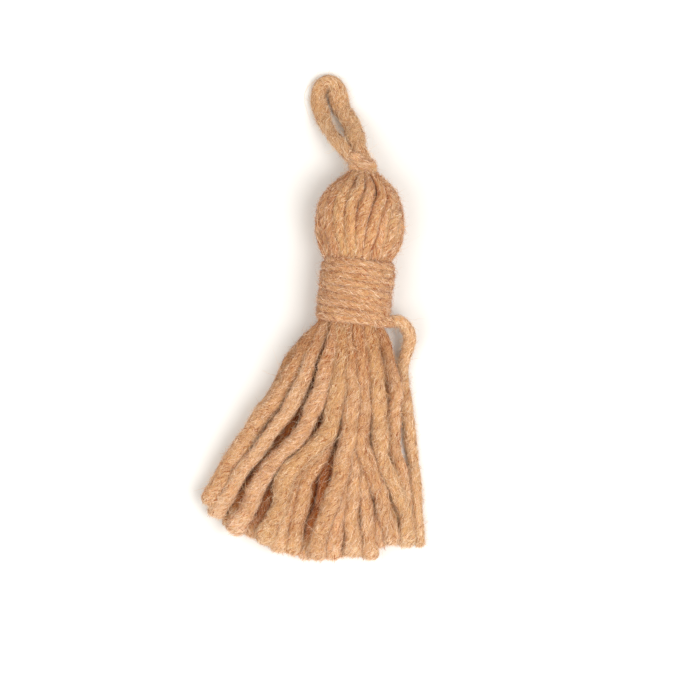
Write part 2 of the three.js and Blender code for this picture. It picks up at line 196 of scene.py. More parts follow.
# Strands: width, y of the cut end, height as a share of the top, then x at the heights down to past the end
EDGE_STRANDS = [
    (3.6, -35.1, 0.0, (4.0, -3.3, -7.6, -12.3, -17.6, -23.0, -27.2)),
]
DEEP_STRANDS = [
    (3.5, -42.4, 0.3, (4.3, -0.8, -4.5, -8.5, -13.0, -18.6, -23.6, -27.0)),
    (3.5, -45.4, 0.3, (4.9, 2.7, 0.0, -3.2, -7.3, -13.0, -18.9, -22.6)),
    (3.6, -48.4, 0.3, (7.0, 6.5, 5.4, 3.2, 0.0, -6.2, -11.3, -14.6, -17.0)),
    (3.6, -52.0, 0.3, (8.5, 8.5, 8.0, 6.4, 3.9, -0.6, -4.0, -6.7, -8.9)),
    (3.7, -54.0, 0.3, (9.9, 10.6, 10.7, 9.7, 7.8, 4.9, 3.2, 1.1, -0.8)),
    (3.6, -53.6, 0.32, (12.9, 13.2, 13.4, 13.0, 12.4, 11.0, 10.4, 9.6, 8.9)),
    (3.6, -53.6, 0.34, (14.6, 15.8, 16.2, 15.9, 15.5, 14.8, 14.8, 14.7, 14.4)),
    (3.7, -51.6, 0.36, (16.2, 18.4, 18.9, 18.6, 18.4, 18.4, 18.9, 19.4, 19.4)),
]
MIDDLE_STRANDS = [
    (3.7, -52.1, 0.7, (8.4, 8.9, 8.6, 7.6, 4.6, -1.9, -4.6, -7.3, -9.2)),
    (4.1, -53.2, 0.66, (9.2, 10.0, 9.5, 8.2, 5.2, 0.5, -1.4, -3.5, -5.7)),
    (3.9, -54.2, 0.75, (11.1, 11.9, 11.9, 11.3, 10.5, 9.7, 8.6, 7.6, 6.5)),
    (4.1, -53.4, 0.78, (11.9, 12.7, 13.0, 12.2, 11.6, 12.2, 11.9, 12.0, 11.9)),
    (3.7, -54.4, 0.72, (14.6, 15.7, 15.7, 15.7, 14.9, 14.9, 15.7, 16.5, 16.3)),
    (3.7, -49.8, 0.8, (18.1, 21.4, 23.0, 23.2, 23.4, 24.6, 26.0, 26.9, 27.4)),
]
FRONT_STRANDS = [
    (4.4, -39.4, 1.0, (4.3, -1.1, -5.9, -11.3, -17.0, -22.4, -26.0, -29.0)),
    (3.6, -43.0, 1.0, (4.9, 1.5, -1.6, -5.9, -11.3, -18.1, -22.7, -26.4)),
    (4.2, -47.2, 1.0, (8.0, 6.2, 4.3, 0.9, -3.5, -11.1, -15.5, -19.6, -23.2)),
    (4.5, -50.2, 1.0, (9.6, 9.3, 8.5, 6.9, 3.4, -4.8, -7.5, -10.5, -13.2)),
    (4.1, -54.4, 1.0, (10.3, 11.2, 11.7, 11.9, 10.9, 8.5, 6.7, 3.7, 1.6)),
    (3.9, -50.6, 1.0, (13.2, 14.2, 14.6, 14.9, 14.5, 16.8, 20.2, 22.0, 22.9)),
    (4.1, -51.3, 1.0, (15.9, 17.3, 18.6, 19.0, 19.1, 21.3, 25.0, 26.6, 26.9)),
]

# Fan that the lowest strands fill evenly: its left and right side at the heights, and its hem
FAN_LEFT = np.array([5.0, -1.5, -6.5, -11.0, -15.5, -20.5, -25.0, -29.5, -34.0])
FAN_RIGHT = np.array([18.6, 20.4, 21.2, 21.8, 22.2, 22.7, 23.1, 23.4, 23.6])
FAN_HEM_Y = (-37.0, -48.2, -53.0, -53.4, -50.4)
FAN_STRANDS = 12
FAN_STRAND_WIDTH = 3.9

# Roots: they are tucked under the binding towards the neck's middle and lie round the neck, the lowest and
# the top strands at these shares of its radius; their pressed form goes over in 20 mm
TUCK_Y = 13.0
TUCK_SHARE = 0.7
ROOT_RADIUS = 6.9
ROOT_ROUND_RADIUS = 7.8
ROOT_SHARES = (-0.75, 1.0)
ROOT_WIDTH_SHARE = 0.85
ROOT_FLATNESS = 0.6
ROOT_LENGTH = 20.0

# Hem: a strand grows wider by this share over its last 7 mm
HEM_FLARE = 0.3
HEM_LENGTH = 7.0

# Wander of the strands about their routes, sideways and up: size and length of each wave
STRAND_WANDER = [(0.3, 23.0), (0.18, 11.0)]

# Wool colours from the shade between fibres to the palest fibre tips, the dye's two leanings, and the sheen
WOOL_SHADES = ("#A04E14", "#CE9D6C", "#E0B27F", "#F6DEBF")
DYE_YELLOW = "#FFFDF6"
DYE_ROSE = "#FFF9FA"
SHEEN_TINT = "#FFF4E8"

# Tone from 0, darkest, to 1: each piece's own, how uneven it is from strand to strand, and how the skirt's
# strands are darker at the root and paler at the skirt's sides and at the hem. The darker root is painted
# shade under the binding and the paler sides are painted light; the skirt's lower layers are a little darker
# and the head's core, seen only down in its grooves, darker still, both as painted shade
STRAND_TONE = {"edge": 0.5, "low": 0.48, "deep": 0.48, "middle": 0.51, "front": 0.52}
HEAD_TONE = 0.42
CORE_TONE = 0.3
BINDING_TONE = 0.46
TAIL_TONE = 0.66
LOOP_TONE = 0.6
KNOT_TONE = 0.58
TONE_UNEVEN = 0.05
ROOT_PAINTED_SHADE = 0.22
SIDE_PAINTED_LIGHT = 0.1
HEM_PALER = 0.18

# Painted shade, an amber darkening of the wool deep in the bundle where shade falls: its strength by the
# yarn's place, and the share of it that the palest fibres take. On wound yarn it is painted in the grooves,
# and ends where the skin has turned outwards to this sine. In the skirt it starts at these distances below
# the top and in from the sides and the hem, and is full 4 mm deeper
PAINTED_SHADE_AMBER = "#E8A868"
PALEST_PAINTED_SHADE = 0.2
PAINTED_SHADE = {"free": 0.0, "wound": 1.0, "skirt": 1.0}
GROOVE_SINE = 0.6
PAINTED_SHADE_STARTS = {"top": 2.2, "side": 3.0, "hem": 2.5}
PAINTED_SHADE_GROWTH = 4.0

# How far red, green and blue light goes into the wool
LIGHT_REACH = (1.6, 0.8, 0.4)

# Streaks along the fibres and the nap across them, drawn as coarse as they need to show, and their relief
STREAK_WIDTH = 0.4
STREAK_LENGTH = 4.0
STREAK_STRENGTH = 1.0
NAP_SIZE = 0.5
NAP_STRENGTH = 0.6
NAP_RELIEF = 0.3

# Loose fibres: length, lift of the tip, spread about the twist, width, roll, how much paler they are, how
# uneven their tones are, their share of the painted shade, the share of the yarn's thickness in which they
# are rooted, points along one, whether all run towards the yarn's end, and the seed for the first yarn; the
# widths are those of small locks, because a single fibre is too fine to show
MATTED = {
    "length": (1.1, 3.2), "lift": 0.22, "spread": 0.45, "width": (0.11, 0.22), "roll": 0.9, "paler": 0.0,
    "uneven": 0.46, "painted_shade_mix": 1.0, "inside": 0.0, "steps": 3, "onwards": False, "seed": 1000,
}
HALO = {
    "length": (1.0, 3.6), "lift": 0.5, "spread": 0.75, "width": (0.06, 0.09), "roll": 1.5, "paler": 0.12,
    "uneven": 0.4, "painted_shade_mix": 0.4, "inside": 0.0, "steps": 3, "onwards": False, "seed": 2000,
}
STRAY = {
    "length": (5.0, 11.0), "lift": 1.3, "spread": 1.0, "width": (0.06, 0.09), "roll": 1.5, "paler": 0.35,
    "uneven": 0.15, "painted_shade_mix": 0.0, "inside": 0.0, "steps": 7, "onwards": False, "seed": 3000,
}
TUFT = {
    "length": (0.4, 1.4), "lift": 0.15, "spread": 0.7, "width": (0.05, 0.08), "roll": 1.5, "paler": 0.1,
    "uneven": 0.25, "painted_shade_mix": 0.0, "inside": 1.0, "steps": 3, "onwards": True, "seed": 4000,
}

# All loose fibres: taper to the tip, sideways bow, lift of the root off the skin, the power by which the
# lift grows to the tip, and the limits of their tones
FIBRE_TAPER = 0.6
FIBRE_BOW = 0.3
FIBRE_ROOT_LIFT = (-0.12, 0.05)
FIBRE_LIFT_POWER = 1.5
FIBRE_TONES = (0.02, 0.98)

# Pieces of loose fibres: matted, halo and stray ones to a square mm of yarn, and the sides of the yarn that
# they are on, in degrees from one side round over its outer face
ALL_ROUND = (0.0, 360.0)
FROM_ABOVE = (-30.0, 210.0)
OUTER_HALF = (-10.0, 190.0)
FIBRE_PIECES = {
    "front_strand_fibres": (5.0, 9.0, 0.2, FROM_ABOVE),
    "middle_strand_fibres": (5.0, 8.0, 0.08, FROM_ABOVE),
    "deep_strand_fibres": (4.0, 3.0, 0.05, FROM_ABOVE),
    "low_strand_fibres": (1.1, 1.4, 0.02, ALL_ROUND),
    "head_fibres": (5.0, 5.0, 0.08, OUTER_HALF),
    "binding_fibres": (6.0, 7.0, 0.08, OUTER_HALF),
    "tail_fibres": (6.0, 9.0, 0.15, ALL_ROUND),
    "loop_fibres": (6.0, 13.0, 0.2, ALL_ROUND),
}

# Tufts at the cut ends: the length of yarn that they are on, and their number to a square mm of it
TUFT_SPAN = 1.0
TUFT_DENSITY = 50.0

# Fibres go past a cut end by this much at most, less by an uneven part, and past other ends further; each
# keeps a little of its reach
CUT_FLUFF = 1.2
CUT_UNEVEN = 1.4
FREE_FLUFF = 4.0
LEAST_REACH = 0.05

# Keeps a direction from being zero where the floor stops a fibre
TINY = 1e-6

# Stage, in metres and watts: the floor, and each soft box's name, place, side and power
FLOOR_SIDE = 4.0
FLOOR_COLOUR = "#EDEBE7"
SOFT_BOXES = [
    ("right soft box", (0.42, -0.2, 0.96), 0.6, 8.5),
    ("left soft box", (-0.42, -0.2, 0.96), 0.6, 4.2),
]
STUDIO_COLOUR = "#F4F2EE"
STUDIO_STRENGTH = 0.6


def linear(hex_colour):
    """The linear colour of an sRGB hex value, with full alpha."""
    channels = [int(hex_colour[k:k + 2], 16) / 255 for k in (1, 3, 5)]
    return [c / 12.92 if c <= 0.04045 else ((c + 0.055) / 1.055) ** 2.4 for c in channels] + [1.0]


def unit(vectors):
    return vectors / np.linalg.norm(vectors, axis=-1, keepdims=True)


def smooth_step(value, start, end):
    share = np.clip((value - start) / (end - start), 0.0, 1.0)
    return share * share * (3 - 2 * share)


def between_margins(share, margin):
    return margin + (1 - 2 * margin) * share


def smooth_line(points, step=TUBE_STEP):
    """Even steps along a smooth curve through the points."""
    points = np.asarray(points, float)
    ends = np.vstack([2 * points[0] - points[1], points, 2 * points[-1] - points[-2]])
    share = np.linspace(0, 1, CURVE_SAMPLES, endpoint=False)[:, None]
    pieces = []
    for a, b, c, d in zip(ends, ends[1:], ends[2:], ends[3:]):
        bend = 2 * b + (c - a) * share + (2 * a - 5 * b + 4 * c - d) * share ** 2
        pieces.append(0.5 * (bend + (3 * b - a - 3 * c + d) * share ** 3))
    dense = np.vstack([*pieces, points[-1:]])
    along = np.concatenate([[0.0], np.cumsum(np.linalg.norm(np.diff(dense, axis=0), axis=1))])
    places = np.linspace(0, along[-1], max(LEAST_STEPS, round(along[-1] / step)) + 1)
    return np.stack([np.interp(places, along, dense[:, k]) for k in range(3)], axis=-1)


def skirt_painted_shade(points):
    """Painted shade in the skirt by how deep points lie: 0 near its top, sides and hem, 1 well inside it."""
    x, y, z = np.moveaxis(points, -1, 0)
    left, right, top = [np.interp(-y, -ROW_Y, side) for side in (SKIRT_LEFT, SKIRT_RIGHT, SKIRT_TOP)]
    across = np.clip((x - left) / (right - left), 0.0, 1.0)
    mound = FLOOR_STRAND_Z + (top - FLOOR_STRAND_Z) * np.sqrt(1 - (2 * across - 1) ** 2)
    hem = np.interp(across, np.linspace(0, 1, len(FAN_HEM_Y)), FAN_HEM_Y)
    below_top = mound + FLOOR_STRAND_Z - z - PAINTED_SHADE_STARTS["top"]
    from_side = np.minimum(x - left, right - x) - PAINTED_SHADE_STARTS["side"]
    from_hem = y - hem - PAINTED_SHADE_STARTS["hem"]
    return smooth_step(np.minimum(below_top, np.minimum(from_side, from_hem)), 0.0, PAINTED_SHADE_GROWTH)


class YarnRun:
    """One length of yarn: its middle line in even steps, the directions across it, and its half width."""

    def __init__(
        self, line, half_width, seed, outwards=UP, flatness=1.0, tone=0.5, round_ends=(False, False),
        place="free",
    ):
        self.line = line
        self.place = place
        self.along = np.concatenate([[0.0], np.cumsum(np.linalg.norm(np.diff(line, axis=0), axis=1))])
        self.length = self.along[-1]
        self.ahead = unit(np.gradient(line, axis=0))
        outwards = np.broadcast_to(outwards, line.shape)
        self.out = unit(outwards - self.ahead * np.sum(outwards * self.ahead, axis=1, keepdims=True))
        self.side = np.cross(self.out, self.ahead)
        self.flatness = np.broadcast_to(flatness, len(line)).astype(float)
        self.fluff_half_width = np.broadcast_to(half_width, len(line)).astype(float)
        self.half_width = self.fluff_half_width.copy()
        from_ends = (self.along, self.length - self.along)
        for is_round, distance in zip(round_ends, from_ends):
            if is_round:
                cap = np.clip(distance / (CAP_SHARE * half_width), 0.0, 1.0)
                roundness = np.sqrt(1 - (1 - cap) ** 2)
                self.half_width *= np.maximum(roundness, CAP_LEAST)
                self.fluff_half_width *= CAP_FLUFF + (1 - CAP_FLUFF) * roundness
        self.tone = np.broadcast_to(tone, len(line)).astype(float)
        self.fibre_end = self.length + (CUT_FLUFF if round_ends[1] else FREE_FLUFF)
        rng = np.random.default_rng(seed)
        self.tint = rng.uniform(0.0, 1.0)
        way_round = rng.choice((-1, 1), p=(OTHER_WAY_SHARE, 1 - OTHER_WAY_SHARE))
        self.twist = way_round * 2 * math.pi / (TURN_LENGTH * rng.uniform(*TURN_UNEVEN))
        self.lumps = [
            (size, ridges, rng.uniform(-waves, waves) / LUMP_STRETCH, rng.uniform(0, 2 * math.pi))
            for size, ridges, waves in LUMPS
        ]

    def swelling(self, along, turn):
        """Share by which the yarn is thicker than its mean at a place."""
        return sum(
            size * np.cos(ridges * (turn - self.twist * along) + pace * along + phase)
            for size, ridges, pace, phase in self.lumps
        )

    def surface(self, along, turn, half_width, lift=0.0):
        """Points on the yarn's skin, lifted off it by some mm; past an end they go straight on."""
        inside = np.clip(along, 0.0, self.length)

        def at(values):
            return np.stack([np.interp(inside, self.along, column) for column in values.T], axis=-1)

        half = np.interp(inside, self.along, half_width) * (1 + self.swelling(along, turn))
        half_height = half * np.interp(inside, self.along, self.flatness)
        straight_on = at(self.ahead) * (along - inside)[..., None]
        aside = at(self.side) * ((half + lift) * np.cos(turn))[..., None]
        outwards = at(self.out) * ((half_height + lift) * np.sin(turn))[..., None]
        points = at(self.line) + straight_on + aside + outwards
        points[..., 2] = np.maximum(points[..., 2], FLOOR_CLEARANCE)
        return points

    def depth(self, points, turn):
        """Painted shade at some points, from 0 to 1, by how deep in the bundle or a groove they lie."""
        if self.place == "skirt":
            return PAINTED_SHADE["skirt"] * skirt_painted_shade(points)
        return PAINTED_SHADE[self.place] * np.clip(1 - np.sin(turn) / GROOVE_SINE, 0.0, 1.0)

    def wool_place(self, along, turn):
        """Where a point is in the yarn's own wool, in mm, so that streaks run along the twisted fibres."""
        radius = self.half_width.mean()
        wound = turn - self.twist * along
        return np.stack(np.broadcast_arrays(np.cos(wound) * radius, np.sin(wound) * radius, along), axis=-1)


def tube_part(run, strip, strips, sides=TUBE_SIDES, cuts=1):
    """A closed tube on a run; its bake places are strips of a grid, cuts of them one after another."""
    rings = len(run.along)
    turn = np.linspace(0, 2 * math.pi, sides, endpoint=False)[None, :]
    along = run.along[:, None]
    points = run.surface(along, turn, run.half_width).reshape(-1, 3)
    grids = np.meshgrid(np.arange(rings - 1), np.arange(sides), indexing="ij")
    ring, side = [grid.ravel() for grid in grids]
    corner_ring = np.stack([ring, ring, ring + 1, ring + 1], axis=-1)
    corner_side = np.stack([side, side + 1, side + 1, side], axis=-1)
    faces = corner_ring * sides + corner_side % sides
    columns = math.ceil(strips / BAKE_ROWS)
    rings_a_cut = (rings - 1) / cuts
    cut = np.minimum(ring // rings_a_cut, cuts - 1)[:, None]
    cell = strip + cut
    across = (cell % columns + between_margins(corner_side / sides, BAKE_SIDE_MARGIN)) / columns
    down = (cell // columns + between_margins(corner_ring / rings_a_cut - cut, BAKE_END_MARGIN)) / BAKE_ROWS
    corners = np.stack([across, down], axis=-1)
    near = np.arange(sides // 2 - 1)
    first_cap = np.stack([near, sides - 1 - near, sides - 2 - near, near + 1], axis=-1)
    last_cap = (rings - 1) * sides + first_cap[:, ::-1]
    caps = np.vstack([first_cap, last_cap])
    cap_corners = np.broadcast_to(corners[0, 0], (*caps.shape, 2))
    return {
        "points": points,
        "faces": np.vstack([faces, caps]),
        "bake": np.concatenate([corners, cap_corners]).reshape(-1, 2),
        "tone": np.repeat(run.tone, sides),
        "tint": np.full(len(points), run.tint),
        "depth": run.depth(points, np.tile(turn[0], rings)),
        "wool_place": run.wool_place(along, turn).reshape(-1, 3),
    }


def ribbon_part(points, outwards, width, roll, tone, tint, depth):
    """Thin tapering ribbons; points are given by ribbon and step, and roll turns a ribbon on its line."""
    count, steps = points.shape[:2]
    ahead = unit(np.gradient(points, axis=1))
    flat = unit(np.cross(ahead, outwards))
    edge_on = np.cross(flat, ahead)
    across = flat * np.cos(roll)[:, None, None] + edge_on * np.sin(roll)[:, None, None]
    share = np.linspace(0, 1, steps)
    half = (width[:, None] * 0.5 * (1 - FIBRE_TAPER * share[None, :]))[..., None]
    pairs = np.stack([points - across * half, points + across * half], axis=2)[:, :-1]
    vertices = np.concatenate([pairs.reshape(count, -1, 3), points[:, -1:]], axis=1)
    vertices[..., 2] = np.maximum(vertices[..., 2], FLOOR_CLEARANCE)
    left = 2 * np.arange(steps - 2)
    quads = [np.stack([left, left + 1, left + 3], -1), np.stack([left, left + 3, left + 2], -1)]
    tip = np.array([[2 * steps - 4, 2 * steps - 3, 2 * steps - 2]])
    pattern = np.vstack([*quads, tip])
    size = vertices.shape[1]
    faces = (pattern[None] + size * np.arange(count)[:, None, None]).reshape(-1, 3)
    shares = np.append(np.repeat(share[:-1], 2), 1.0)
    beside = np.append(np.tile([-FIBRE_BAKE_HALF_WIDTH, FIBRE_BAKE_HALF_WIDTH], steps - 1), 0.0)
    by_tone = between_margins(tone[:, None], FIBRE_BAKE_MARGIN) + beside
    bake = np.stack(np.broadcast_arrays(by_tone, between_margins(shares, FIBRE_BAKE_MARGIN)), axis=-1)
    return {
        "points": vertices.reshape(-1, 3),
        "faces": faces,
        "bake": bake.reshape(-1, 2)[faces].reshape(-1, 2),
        "tone": np.repeat(tone, size),
        "tint": np.full(count * size, tint),
        "depth": np.repeat(depth, size),
        "wool_place": np.zeros((count * size, 3)),
    }


def fibre_part(run, kind, density, seed, facing=ALL_ROUND, span=(0.0, 1.0)):
    """Loose fibres of one kind on a stretch of a run; they lean about its twist and lift to the tip."""
    rng = np.random.default_rng(seed)
    mean_half = run.fluff_half_width.mean()
    girth = mean_half * math.radians(facing[1] - facing[0])
    count = max(1, round(density * run.length * (span[1] - span[0]) * girth))
    start = run.length * rng.uniform(*span, count)
    turn = np.radians(rng.uniform(*facing, count))
    lean = math.atan(run.twist * mean_half) + rng.normal(0.0, kind["spread"], count)
    reach = rng.uniform(*kind["length"], count) * rng.choice((-1, 1), count)
    if kind["onwards"]:
        reach = abs(reach)
    room = run.fibre_end - start - CUT_UNEVEN * (1 - rng.uniform(0, 1, count) ** 2)
    reach *= np.clip(room / np.maximum(reach * np.cos(lean), LEAST_REACH), LEAST_REACH, 1.0)
    share = np.linspace(0, 1, kind["steps"])[None, :]
    bow = rng.normal(0.0, FIBRE_BOW, count)[:, None] * share * (1 - share)
    along = start[:, None] + reach[:, None] * (np.cos(lean)[:, None] * share)
    round_turn = turn[:, None] + reach[:, None] / mean_half * (np.sin(lean)[:, None] * share + bow)
    sunk = kind["inside"] * mean_half * (1 - np.sqrt(rng.uniform(0, 1, count)))
    root_lift = (rng.uniform(*FIBRE_ROOT_LIFT, count) - sunk)[:, None]
    lift = root_lift + kind["lift"] * rng.exponential(1.0, count)[:, None] * share ** FIBRE_LIFT_POWER
    points = run.surface(along, round_turn, run.fluff_half_width, lift)
    outwards = unit(run.surface(along, round_turn, run.fluff_half_width, lift + 1.0) - points + TINY)
    run_tone = np.interp(start, run.along, run.tone)
    tone = np.clip(run_tone + rng.normal(kind["paler"], kind["uneven"], count), *FIBRE_TONES)
    roll = rng.uniform(-kind["roll"], kind["roll"], count)
    width = rng.uniform(*kind["width"], count)
    # Painted shade on each fibre, less on the palest ones
    depth = kind["painted_shade_mix"] * run.depth(points[:, 0], turn) * (1 - (1 - PALEST_PAINTED_SHADE) * tone)
    return ribbon_part(points, outwards, width, roll, tone, run.tint, depth)


def make_piece(name, parts, material, nodes=()):
    """One object from parts, which hold points in mm, faces, bake places of face corners and wool data."""
    starts = np.cumsum([0] + [len(part["points"]) for part in parts])
    faces = np.vstack([part["faces"] + start for part, start in zip(parts, starts)])
    joined = {key: np.concatenate([part[key] for part in parts]) for key in parts[0] if key != "faces"}
    mesh = bpy.data.meshes.new(name)
    mesh.from_pydata((joined["points"] * METRES).tolist(), [], faces.tolist())
    mesh.uv_layers.new(name="OFBake").uv.foreach_set("vector", joined["bake"].astype(np.float32).ravel())
    for key in ("tone", "tint", "depth"):
        mesh.attributes.new(key, "FLOAT", "POINT").data.foreach_set("value", joined[key].astype(np.float32))
    wool = mesh.attributes.new("wool_place", "FLOAT_VECTOR", "POINT")
    wool.data.foreach_set("vector", joined["wool_place"].astype(np.float32).ravel())
    mesh.shade_smooth()
    mesh.materials.append(material)
    piece = bpy.data.objects.new(name, mesh)
    bpy.context.scene.collection.objects.link(piece)
    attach(piece, "root")
    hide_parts(*nodes)
    return piece


# Materials


def add_node(tree, kind, settings, links=()):
    """A node with its settings, by socket or property name, and its links from other nodes' sockets."""
    node = tree.nodes.new(kind)
    for name, value in settings.items():
        if name in node.inputs:
            node.inputs[name].default_value = value
        else:
            setattr(node, name, value)
    for name, socket in links:
        tree.links.new(socket, node.inputs[name])
    return node


def wool_colour_with_painted_shade(tree, value):
    """The wool's shades by a value from 0 to 1; they lean to yellow or rose from yarn to yarn, and are
    darkened to amber deep in the bundle as painted shade."""
    ramp = add_node(tree, "ShaderNodeValToRGB", {}, [("Fac", value)])
    ramp.color_ramp.elements[0].color = linear(WOOL_SHADES[0])
    ramp.color_ramp.elements[1].color = linear(WOOL_SHADES[-1])
    for k, shade in enumerate(WOOL_SHADES[1:-1], start=1):
        ramp.color_ramp.elements.new(k / (len(WOOL_SHADES) - 1)).color = linear(shade)
    tint = add_node(tree, "ShaderNodeAttribute", {"attribute_name": "tint"})
    dye = add_node(
        tree, "ShaderNodeMixRGB", {"Color1": linear(DYE_YELLOW), "Color2": linear(DYE_ROSE)},
        [("Fac", tint.outputs["Fac"])],
    )
    dyed = add_node(
        tree, "ShaderNodeMixRGB", {"blend_type": "MULTIPLY", "Fac": 1.0},
        [("Color1", ramp.outputs["Color"]), ("Color2", dye.outputs["Color"])],
    )
    # Painted shade: the colour is multiplied towards amber where the wool lies deep in the bundle
    depth = add_node(tree, "ShaderNodeAttribute", {"attribute_name": "depth"})
    painted_shade_mix = add_node(
        tree, "ShaderNodeMixRGB", {"blend_type": "MULTIPLY", "Color2": linear(PAINTED_SHADE_AMBER)},
        [("Fac", depth.outputs["Fac"]), ("Color1", dyed.outputs["Color"])],
    )
    return painted_shade_mix.outputs["Color"]


def carded_wool_yarn():
    """Carded wool spun into a soft single yarn: matt, with streaks along the twisted fibres and a nap."""
    material = bpy.data.materials.new("carded wool yarn")
    material.use_nodes = True
    tree = material.node_tree
    shader = tree.nodes["Principled BSDF"]
    shader.inputs["Roughness"].default_value = 0.95
    shader.inputs["Specular IOR Level"].default_value = 0.2
    shader.inputs["Sheen Weight"].default_value = 0.6
    shader.inputs["Sheen Roughness"].default_value = 0.4
    shader.inputs["Sheen Tint"].default_value = linear(SHEEN_TINT)
    shader.inputs["Subsurface Weight"].default_value = 0.5
    shader.inputs["Subsurface Radius"].default_value = LIGHT_REACH
    shader.inputs["Subsurface Scale"].default_value = METRES
    tone = add_node(tree, "ShaderNodeAttribute", {"attribute_name": "tone"})
    place = add_node(tree, "ShaderNodeAttribute", {"attribute_name": "wool_place"})
    stretch = add_node(
        tree, "ShaderNodeMapping", {"Scale": (1 / STREAK_WIDTH, 1 / STREAK_WIDTH, 1 / STREAK_LENGTH)},
        [("Vector", place.outputs["Vector"])],
    )
    streaks = add_node(
        tree, "ShaderNodeTexNoise", {"Scale": 1.0, "Detail": 3.0, "Roughness": 0.6},
        [("Vector", stretch.outputs["Vector"])],
    )
    nap = add_node(
        tree, "ShaderNodeTexNoise", {"Scale": 1 / NAP_SIZE, "Detail": 2.0},
        [("Vector", place.outputs["Vector"])],
    )
    value = tone.outputs["Fac"]
    for noise, strength in ((streaks, STREAK_STRENGTH), (nap, NAP_STRENGTH)):
        varied = add_node(
            tree, "ShaderNodeMath", {"operation": "MULTIPLY_ADD"}, [(0, noise.outputs["Fac"]), (2, value)]
        )
        varied.inputs[1].default_value = strength
        value = varied.outputs["Value"]
    centred = add_node(tree, "ShaderNodeMath", {"operation": "SUBTRACT"}, [(0, value)])
    centred.inputs[1].default_value = (STREAK_STRENGTH + NAP_STRENGTH) / 2
    tree.links.new(wool_colour_with_painted_shade(tree, centred.outputs["Value"]), shader.inputs["Base Color"])
    bump = add_node(
        tree, "ShaderNodeBump", {"Strength": 1.0, "Distance": NAP_RELIEF * METRES}, [("Height", value)]
    )
    tree.links.new(bump.outputs["Normal"], shader.inputs["Normal"])
    return material


def loose_wool_fibre():
    """Loose wool fibres: the same wool, a little paler, each fibre of its own tone."""
    material = bpy.data.materials.new("loose wool fibre")
    material.use_nodes = True
    tree = material.node_tree
    shader = tree.nodes["Principled BSDF"]
    shader.inputs["Roughness"].default_value = 0.8
    shader.inputs["Specular IOR Level"].default_value = 0.25
    shader.inputs["Sheen Weight"].default_value = 0.5
    shader.inputs["Sheen Roughness"].default_value = 0.4
    shader.inputs["Sheen Tint"].default_value = linear(SHEEN_TINT)
    tone = add_node(tree, "ShaderNodeAttribute", {"attribute_name": "tone"})
    tree.links.new(wool_colour_with_painted_shade(tree, tone.outputs["Fac"]), shader.inputs["Base Color"])
    return material


# Camera


def add_camera():
    camera = bpy.data.cameras.new("camera")
    camera.sensor_width = SENSOR_WIDTH
    camera.lens = SENSOR_WIDTH * (CAMERA_HEIGHT - SEEN_HEIGHT) / (PIXEL_SIZE * FRAME_PIXELS)
    holder = bpy.data.objects.new("camera", camera)
    holder.location = (VIEW_CENTRE[0] * METRES, VIEW_CENTRE[1] * METRES, CAMERA_HEIGHT * METRES)
    bpy.context.scene.collection.objects.link(holder)
    bpy.context.scene.camera = holder


add_camera()
YARN = carded_wool_yarn()
FIBRE = loose_wool_fibre()

# Cords: the hanging loop and the binding's loose tail

loop_line = smooth_line(LOOP_ROUTE, CORD_STEP)
loop_shares, loop_widths = np.transpose(LOOP_WIDTHS)
loop_half_width = 0.5 * np.interp(np.linspace(0, 1, len(loop_line)), loop_shares, loop_widths)
loop_run = YarnRun(loop_line, loop_half_width, SEEDS["loop"], tone=LOOP_TONE)
loop_tube = tube_part(loop_run, 0, CORD_STRIPS, cuts=CORD_STRIPS)
hanging_loop = make_piece("hanging_loop_yarn", [loop_tube], YARN, ["hanging_loop"])

tail_line = smooth_line(TAIL_ROUTE, CORD_STEP)
tail_run = YarnRun(tail_line, TAIL_DIAMETER / 2, SEEDS["tail"], tone=TAIL_TONE, round_ends=(False, True))
tail_tube = tube_part(tail_run, 0, CORD_STRIPS, cuts=CORD_STRIPS)
binding_tail = make_piece("binding_tail_yarn", [tail_tube], YARN, ["binding_tail"])

# Knot


def knot_wrap_run():
    """The loop's yarn wound round its feet, from the top of the knot down to its foot."""
    angle = np.linspace(0.5 * math.pi, (0.5 + 2 * KNOT_TURNS) * math.pi, KNOT_STEPS)
    share = np.linspace(-0.5, 0.5, KNOT_STEPS)
    x = KNOT_HALF_WIDTH * np.cos(angle)
    z = KNOT_HALF_HEIGHT * np.sin(angle)
    line = KNOT_CENTRE + np.stack([x, -share * KNOT_RISE - KNOT_SLANT * x, z], axis=-1)
    outwards = np.stack([x, np.zeros(KNOT_STEPS), z], axis=-1)
    return YarnRun(
        line, KNOT_YARN / 2, SEEDS["knot"], outwards=outwards, tone=KNOT_TONE, round_ends=(True, True)
    )


knot_runs = [knot_wrap_run()]
for foot, (width, route) in enumerate(KNOT_FEET):
    foot_line = smooth_line(route, KNOT_FOOT_STEP)
    knot_runs.append(YarnRun(foot_line, width / 2, SEEDS["knot feet"] + foot, tone=KNOT_TONE))
knot_parts = [tube_part(run, k, len(knot_runs)) for k, run in enumerate(knot_runs)]
make_piece("loop_knot_yarn", knot_parts, YARN, ["loop_knot"])

# Neck binding


def neck_centre(y):
    share = (y - NECK_FOOT[1]) / (NECK_TOP[1] - NECK_FOOT[1])
    return NECK_FOOT + share[:, None] * (NECK_TOP - NECK_FOOT)


